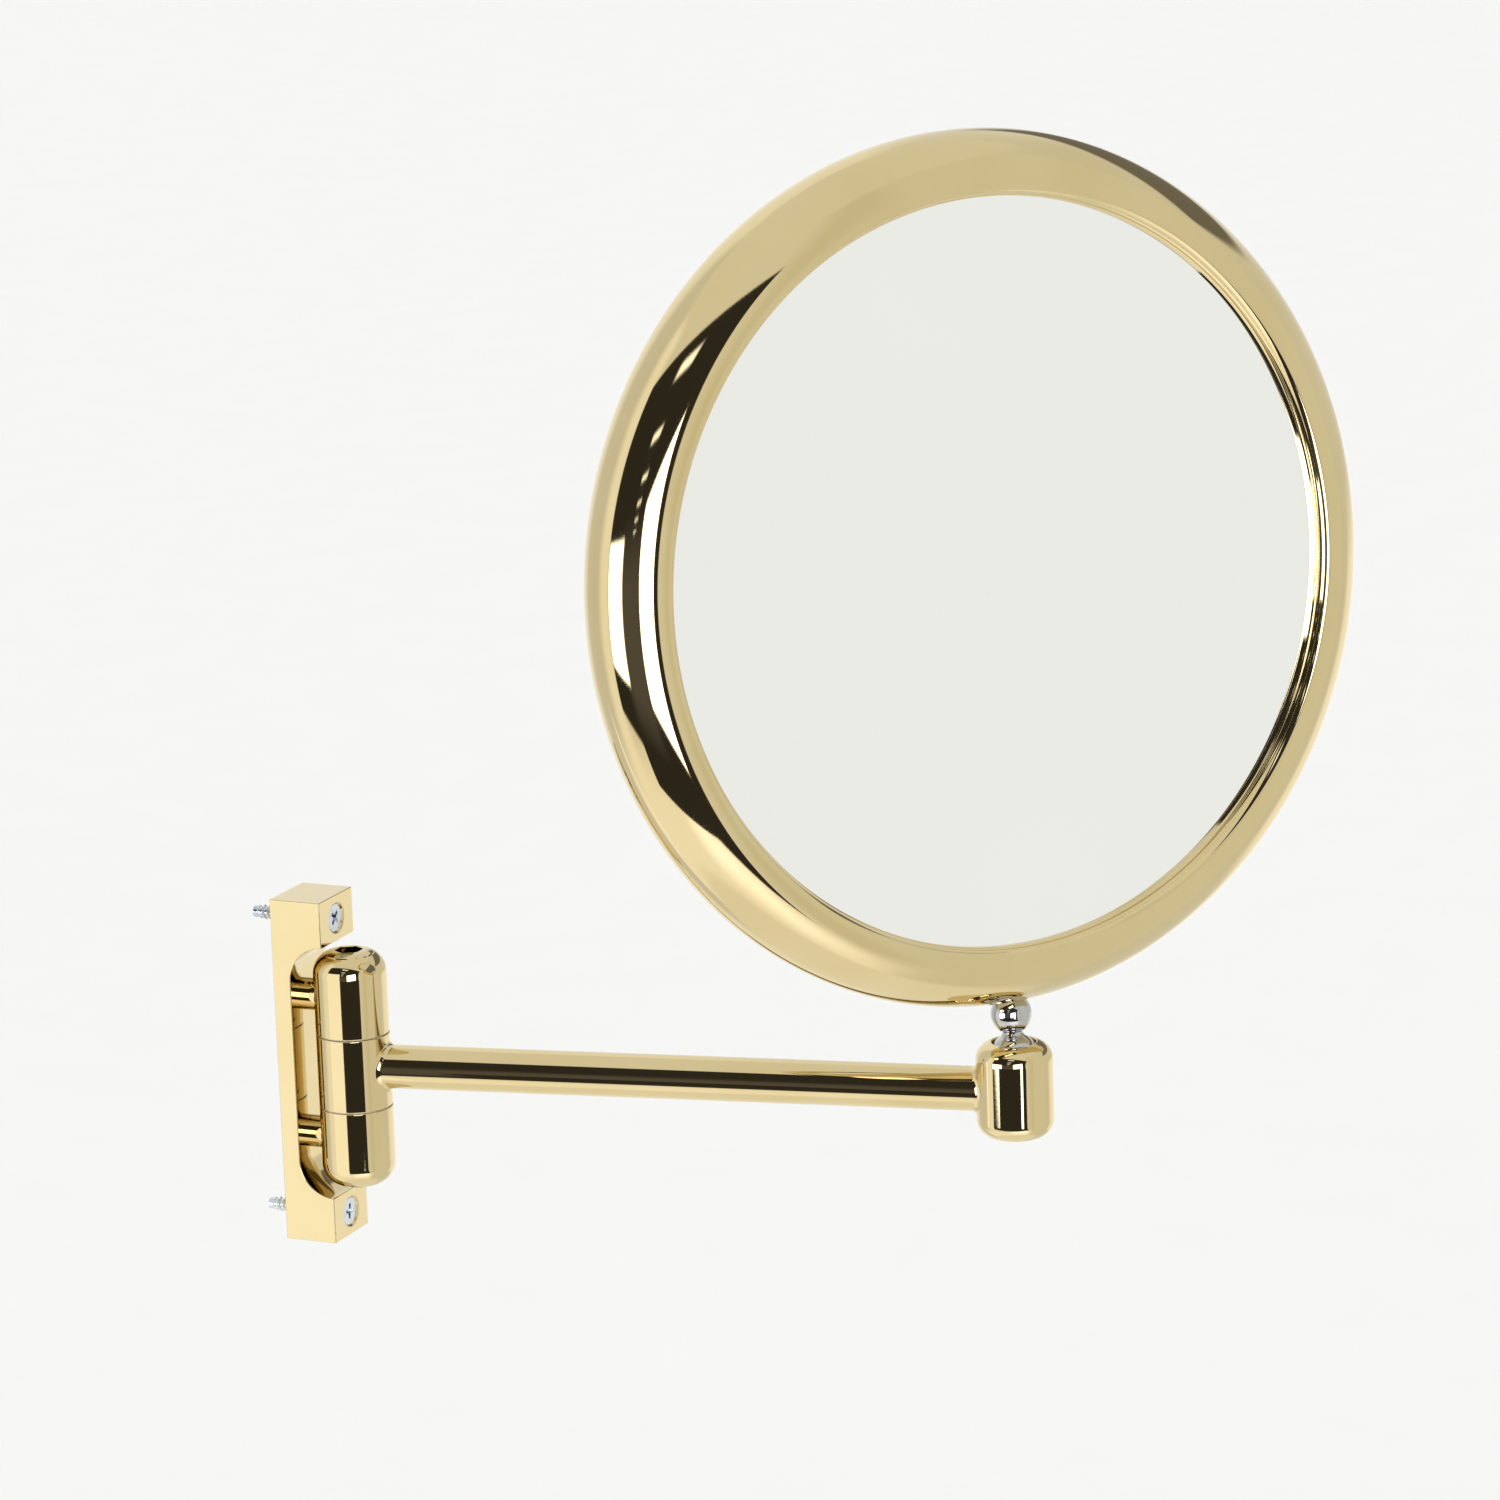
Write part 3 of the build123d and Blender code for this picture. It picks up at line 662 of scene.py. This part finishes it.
def ball_joint_housing():
    """Turned cup with a rolled shoulder and mouth, and its screwed plug underneath."""
    shoulder_x = housing_r - housing_shoulder_r
    mouth_angle = degrees(acos((mouth_r + EDGE - shoulder_x) / housing_shoulder_r))
    mouth_top = housing_top - housing_shoulder_r + housing_shoulder_r * sin(radians(mouth_angle))
    plug_r = cavity_r
    plug_x = housing_r - housing_foot_r
    plug_angle = degrees(acos((plug_r + 0.1 - plug_x) / housing_foot_r))
    plug_z = housing_bottom + housing_foot_r * (1 - sin(radians(plug_angle)))
    outside = [(mouth_r, mouth_top - mouth_wall),
               *arc(mouth_r + EDGE, mouth_top - EDGE, EDGE, 180, 90, 5),
               *arc(shoulder_x, housing_top - housing_shoulder_r, housing_shoulder_r,
                    mouth_angle - 2, 0, 22),
               *arc(plug_x, housing_bottom + housing_foot_r, housing_foot_r, 0, -plug_angle, 16),
               (plug_r, plug_z + 0.15), (plug_r, plug_high.z), (mouth_r, plug_high.z)]
    piece("ball_cup", lathe(crisp(outside, True), closed=True), AT_HOUSING, "arm", "gold",
          ["ball_housing"])
    inner_angle = degrees(acos((plug_r - plug_gap - plug_x) / housing_foot_r))
    hexagonal = hexagon(plug_hex)
    bottom = housing_bottom
    plug = [(0, plug_high.z), (plug_r - 0.03, plug_high.z),
            (plug_r - 0.03, bottom + housing_foot_r * (1 - sin(radians(inner_angle))) + 0.2),
            *arc(plug_x, bottom + housing_foot_r, housing_foot_r, -inner_angle, -90, 12),
            (hexagon(plug_hex + 2 * hex_break), bottom + 0.001),
            (hexagonal, bottom + hex_break),
            (hexagonal, bottom + plug_hex_depth), (0, bottom + plug_hex_depth + 0.8)]
    piece("cup_plug", lathe(crisp(plug)), AT_HOUSING, "arm", "gold",
          ["housing_plug"])


def stud():
    """Chromed stud: the held ball, a waisted neck, and a smaller ball against the rim."""
    low = -sqrt(knob_r ** 2 - collar_r ** 2)
    ball_end = degrees(acos(neck_r / ball_r)) - 7
    foot = sqrt(ball_r ** 2 - neck_r ** 2)
    collar = knob_above_ball + low
    top_angle = degrees(asin((knob_r - knob_in_rim + shell_thickness) / knob_r))
    start_angle = degrees(atan2(low, collar_r))
    points = [*arc(0, 0, ball_r, -90, ball_end, 40),
              (neck_r + 0.35, foot + 0.28), (neck_r + 0.08, foot + 0.75), (neck_r, foot + 1.2),
              (neck_r, collar - 0.9), (neck_r + 0.1, collar - 0.5), (neck_r + 0.45, collar - 0.12),
              *arc(0, knob_above_ball, knob_r, start_angle, top_angle, 36),
              (0, knob_above_ball + knob_r * sin(radians(top_angle)))]
    points[0] = (0, -ball_r)
    piece("ball_stud_head", lathe(points), AT_STUD, "mirror", "chrome", ["ball_stud"],
          sharp=50)


# ------------------------------------------------------------------ mirror head
def rim_shell(side):
    """Section of one half of the hollow rim, as a closed outline."""
    edge_x = opening_r + rim_edge_r
    edge_y = sqrt((rim_tube_r - rim_edge_r) ** 2 - (edge_x - ring_r) ** 2)
    crest = degrees(atan2(edge_y, edge_x - ring_r))
    top = glass_face + bezel_height
    wall = opening_r + shell_thickness
    inner = rim_tube_r - shell_thickness
    outer_line = [*arc(ring_r, 0, rim_tube_r, 0, 0.25, 1), *arc(ring_r, 0, rim_tube_r, 2, crest, 44),
                  *arc(edge_x, edge_y, rim_edge_r, crest, 180, 14)[1:]]
    inner_line = [*arc(edge_x, edge_y, rim_edge_r - shell_thickness, 180, crest, 8),
                  *arc(ring_r, 0, inner, crest, 0, 16)[1:]]
    points = [*outer_line, (opening_r, top), (wall, top), *inner_line]
    return [(x, side * y) for x, y in points]


def bezel(side):
    """Section of the thin ring that laps the glass."""
    top = glass_face + bezel_height - bezel_inset
    bottom = glass_face + bezel_inset
    points = [(bezel_lip_r, bottom), (bezel_outer_r, bottom), (bezel_outer_r, top),
              *arc(bezel_lip_r + bezel_round_r, top - bezel_round_r, bezel_round_r, 90, 180, 8)]
    return [(x, side * y) for x, y in points]


def mirror_head():
    """Two rim halves, two bezels and two glasses."""
    for label, side in (("front", 1), ("rear", -1)):
        shell = lathe(rim_shell(side), RIM_SEGMENTS, closed=True)
        piece(f"rim_{label}", shell, AT_RING, "mirror", "gold",
              [f"{label}_shell"])
        piece(f"lip_{label}", lathe(crisp(bezel(side), True), RIM_SEGMENTS, closed=True), AT_RING,
              "mirror", "gold", [f"{label}_bezel"])
    back = glass_face - glass_thickness
    flat = [(0, back), (glass_r - glass_chamfer, back), (glass_r, back + glass_chamfer),
            (glass_r, glass_face - glass_chamfer), (glass_r - glass_chamfer, glass_face),
            (0, glass_face)]
    piece("mirror_glass_front", lathe(flat, RIM_SEGMENTS), AT_RING, "mirror", "glass",
          ["front_glass"], sharp=20)
    edge_angle = degrees(asin(glass_r / rear_glass_curve_r))
    drop = rear_glass_curve_r - sqrt(rear_glass_curve_r ** 2 - glass_r ** 2)
    middle = -glass_face + drop - rear_glass_curve_r
    face = arc(0, middle, rear_glass_curve_r, 90, 90 - edge_angle, 40)
    dish = [*face, *[(x, z + glass_thickness) for x, z in reversed(face)]]
    dish[0] = (0, dish[0][1])
    dish[-1] = (0, dish[-1][1])
    piece("mirror_glass_rear", lathe(dish, RIM_SEGMENTS), AT_RING, "mirror", "glass",
          ["rear_glass"], sharp=20)


wall_plate()
wall_screws()
hinge_posts()
barrel()
arm()
ball_joint_housing()
stud()
mirror_head()

# ------------------------------------------------------------------ CAD nodes that keep their mesh
carried_over = {
    "zinc": ["post_screws", "stud_nut", "stud_washer"],
    "spring": ["hinge_spring", "seat_spring"],
    "nylon": ["upper_washer", "lower_washer", "ball_seat", "ball_liner"],
    "turned_brass": ["hinge_bush", "knuckle_spigot", "socket_spigot", "thrust_disc",
                     "stud_boss", "joint_band"],
    "board": ["front_backing", "rear_backing"],
    "foam": ["spacer_ring", "centre_pad"],
}
for material, names in carried_over.items():
    for name in names:
        mesh = frame["nodes"][name].data
        mesh.materials.clear()
        mesh.materials.append(materials[material])

# ------------------------------------------------------------------ camera, as in the photograph
camera_data = bpy.data.cameras.new("camera")
camera_data.lens = 144.0
camera_data.sensor_width = 36.0
camera = bpy.data.objects.new("camera", camera_data)
bpy.context.scene.collection.objects.link(camera)
azimuth, elevation, roll = radians(-65.55), radians(13.476), radians(-1.963)
back = Vector((sin(azimuth) * cos(elevation), -cos(azimuth) * cos(elevation), sin(elevation)))
right = Vector((cos(azimuth), sin(azimuth), 0))
above = back.cross(right)
turned_right = right * cos(roll) + above * sin(roll)
turned_above = above * cos(roll) - right * sin(roll)
camera.matrix_world = Matrix.Translation((-1.38166, -0.76801, 0.46041)) @ Matrix(
    (turned_right, turned_above, back)).transposed().to_4x4()
camera_data.clip_end = 100.0
bpy.context.scene.camera = camera

# ------------------------------------------------------------------ floor
PALE = 0.94                        # how bright the floor and the empty background look
floor_drop = 0.30
floor_mesh = bmesh.new()
bmesh.ops.create_grid(floor_mesh, x_segments=1, y_segments=1, size=30)
floor_data = bpy.data.meshes.new("floor")
floor_mesh.to_mesh(floor_data)
floor_mesh.free()
floor = bpy.data.objects.new("floor", floor_data)
floor.location.z = cad_box[0].z - floor_drop
floor.visible_glossy = False       # polished metal mirrors the tent below it, not the floor
bpy.context.scene.collection.objects.link(floor)
floor_data.materials.append(moulded("pale_floor", grey(0.905), grey(0.915), 0.85, 0.95, 20.0, 0.02))

sun_data = bpy.data.lights.new("overhead_softbox", "SUN")
sun_data.energy = 0.80
sun_data.angle = radians(70)
sun = bpy.data.objects.new("overhead_softbox", sun_data)
sun.rotation_euler = (radians(18), radians(-12), 0)
sun.visible_glossy = False
bpy.context.scene.collection.objects.link(sun)


# ------------------------------------------------------------------ cards seen only in the metal
def card(name, x, y_low, y_high, z_low, z_high, colour):
    """An upright card that faces the object and shows in its reflections and nowhere else."""
    mesh = bpy.data.meshes.new(name)
    mesh.from_pydata([(x, y_low, z_low), (x, y_high, z_low), (x, y_high, z_high),
                      (x, y_low, z_high)], [], [(0, 1, 2, 3)])
    made, surface = shader(name)[:2]
    surface.inputs["Base Color"].default_value = (0.0, 0.0, 0.0, 1.0)
    surface.inputs["Specular IOR Level"].default_value = 0.0
    surface.inputs["Emission Color"].default_value = (*colour, 1.0)
    surface.inputs["Emission Strength"].default_value = 1.0
    mesh.materials.append(made)
    held = bpy.data.objects.new(name, mesh)
    held.visible_camera = False
    held.visible_diffuse = False
    held.visible_shadow = False
    held.visible_transmission = False
    bpy.context.scene.collection.objects.link(held)


DARK_ROOM = (0.035, 0.033, 0.030)
card("dark_card", -0.40, -0.55, 0.0, -0.20, -0.07, DARK_ROOM)
card("pale_card", -0.07, -0.0155, 0.05, -0.10, 0.05, (1.36, 1.36, 1.36))


# ------------------------------------------------------------------ studio light: a white tent
def studio():
    """A white tent lit from outside, open on its -X side to a dark room with two softboxes and
    a row of ceiling lights.  All of it is fixed in the row frame; the camera sees plain white."""
    world = bpy.data.worlds.new("studio")
    bpy.context.scene.world = world
    world.use_nodes = True
    tree = world.node_tree

    def calc(operation, *values):
        node = tree.nodes.new("ShaderNodeMath")
        node.operation = operation
        for index, value in enumerate(values):
            if isinstance(value, bpy.types.NodeSocket):
                tree.links.new(value, node.inputs[index])
            else:
                node.inputs[index].default_value = value
        return node.outputs[0]

    def plus(first, second):
        return calc("ADD", first, second)

    def minus(first, second):
        return calc("SUBTRACT", first, second)

    def times(first, second):
        return calc("MULTIPLY", first, second)

    def above(value, edge, soft):
        """0 below the edge and 1 above it, over a soft width."""
        node = tree.nodes.new("ShaderNodeMapRange")
        node.interpolation_type = "SMOOTHSTEP"
        node.inputs["From Min"].default_value = -soft
        node.inputs["From Max"].default_value = soft
        tree.links.new(minus(value, edge), node.inputs["Value"])
        return node.outputs["Result"]

    def between(value, low, high, soft):
        return times(above(value, low, soft), minus(1.0, above(value, high, soft)))

    def paint(under, mask, colour):
        node = tree.nodes.new("ShaderNodeMix")
        node.data_type = "RGBA"
        tree.links.new(mask, node.inputs["Factor"])
        if isinstance(under, bpy.types.NodeSocket):
            tree.links.new(under, node.inputs["A"])
        else:
            node.inputs["A"].default_value = (*under, 1.0)
        node.inputs["B"].default_value = (*colour, 1.0)
        return node.outputs["Result"]

    direction = tree.nodes.new("ShaderNodeTexCoord").outputs["Generated"]
    split = tree.nodes.new("ShaderNodeSeparateXYZ")
    tree.links.new(direction, split.inputs[0])
    x, y, z = split.outputs
    azimuth = times(calc("ARCTAN2", x, times(y, -1.0)), 180 / pi)     # 0 straight out, + right
    height = times(calc("ARCSINE", z), 180 / pi)

    # tent walls, in degrees
    light = (0.90, 0.90, 0.87)
    light = paint(light, above(azimuth, -28.0, 3.0), (0.86, 0.86, 0.80))
    light = paint(light, between(azimuth, -22.0, -12.0, 3.0), (0.80, 0.80, 0.70))
    light = paint(light, above(azimuth, 32.0, 4.0), (0.82, 0.83, 0.82))
    light = paint(light, above(azimuth, 84.0, 14.0), (0.88, 0.90, 0.92))
    light = paint(light, above(azimuth, 116.0, 8.0), (1.06, 1.07, 1.05))
    low_right = times(between(azimuth, 52.0, 112.0, 8.0), between(height, -34.0, -8.0, 4.0))
    light = paint(light, low_right, (1.16, 1.16, 1.14))
    light = paint(light, minus(1.0, above(azimuth, -134.0, 8.0)), (1.15, 1.15, 1.15))
    light = paint(light, above(calc("ABSOLUTE", azimuth), 157.0, 9.0), (0.80, 0.81, 0.82))
    light = paint(light, above(height, 52.0, 3.0), (0.90, 0.90, 0.86))
    below = minus(1.0, above(height, -34.0, 10.0))
    left = minus(1.0, above(azimuth, -16.0, 10.0))
    light = paint(light, times(below, left), (1.20, 1.20, 1.18))
    patch = times(between(azimuth, -82.0, -30.0, 14.0), between(height, -50.0, -30.0, 9.0))
    light = paint(light, patch, (1.65, 1.65, 1.75))
    light = paint(light, minus(1.0, above(height, -60.0, 4.0)), (1.02, 1.02, 0.98))

    # a shaded edge high on the right-hand wall
    bow = calc("POWER", calc("ABSOLUTE", times(minus(azimuth, 72.0), 1 / 37.0)), 2.0)
    edge_top = minus(35.0, times(bow, 12.0))
    edge_foot = minus(29.0, times(azimuth, 0.2))
    shade = times(between(azimuth, 35.0, 108.0, 4.0),
                  times(above(height, edge_foot, 2.0), minus(1.0, above(height, edge_top, 1.5))))
    light = paint(light, shade, (0.20, 0.19, 0.18))

    # the opening, seen as a flat wall at x = -1
    ahead = calc("LESS_THAN", x, -0.02)
    across = calc("DIVIDE", y, x)
    rise = calc("DIVIDE", z, times(x, -1.0))
    right_edge = plus(1.36, times(times(rise, rise), 0.4))
    foot = minus(times(across, -0.1), plus(0.64, times(times(across, across), 0.12)))
    opening = times(between(across, -1.04, right_edge, 0.03), between(rise, foot, 1.22, 0.03))
    opening = times(times(opening, ahead), minus(1.0, above(across, 2.3, 0.12)))
    light = paint(light, opening, DARK_ROOM)
    gleam = times(between(across, -0.30, 0.34, 0.14), between(rise, -0.42, 0.16, 0.16))
    light = paint(light, times(times(gleam, opening), 0.8), (0.13, 0.12, 0.12))

    # softboxes
    near_top = plus(0.17, times(across, 0.32))
    near_foot = minus(-0.22, times(across, 0.25))
    near = times(between(across, 0.33, 1.01, 0.02), between(rise, near_foot, near_top, 0.02))
    far_foot = plus(-0.29, times(across, 0.1))
    far = times(between(across, -1.0, -0.29, 0.035), between(rise, far_foot, 0.2, 0.02))
    softbox_light = (4.2, 4.3, 4.6)
    light = paint(light, times(near, ahead), softbox_light)
    light = paint(light, times(far, ahead), softbox_light)

    # ceiling lights in a row that runs away from the tent
    depth = calc("DIVIDE", 1.0, calc("MAXIMUM", rise, 0.05))
    sideways = times(across, depth)
    spacing = 0.72
    row = calc("FRACT", calc("DIVIDE", minus(depth, 1.087 - spacing / 2), spacing))
    lamp = times(between(row, 0.40, 0.60, 0.06), between(sideways, 0.0, 0.42, 0.06))
    lamp = times(times(lamp, between(depth, 0.8, 5.2, 0.1)), ahead)
    light = paint(light, lamp, (1.7, 1.75, 1.9))

    background = tree.nodes["Background"]
    plain = tree.nodes.new("ShaderNodeBackground")
    plain.inputs["Color"].default_value = (PALE, PALE, PALE, 1.0)
    tree.links.new(light, background.inputs["Color"])
    chosen = tree.nodes.new("ShaderNodeMixShader")
    tree.links.new(tree.nodes.new("ShaderNodeLightPath").outputs["Is Camera Ray"],
                   chosen.inputs[0])
    tree.links.new(background.outputs[0], chosen.inputs[1])
    tree.links.new(plain.outputs[0], chosen.inputs[2])
    tree.links.new(chosen.outputs[0], tree.nodes["World Output"].inputs["Surface"])


studio()
bpy.context.scene.view_settings.view_transform = "Standard"
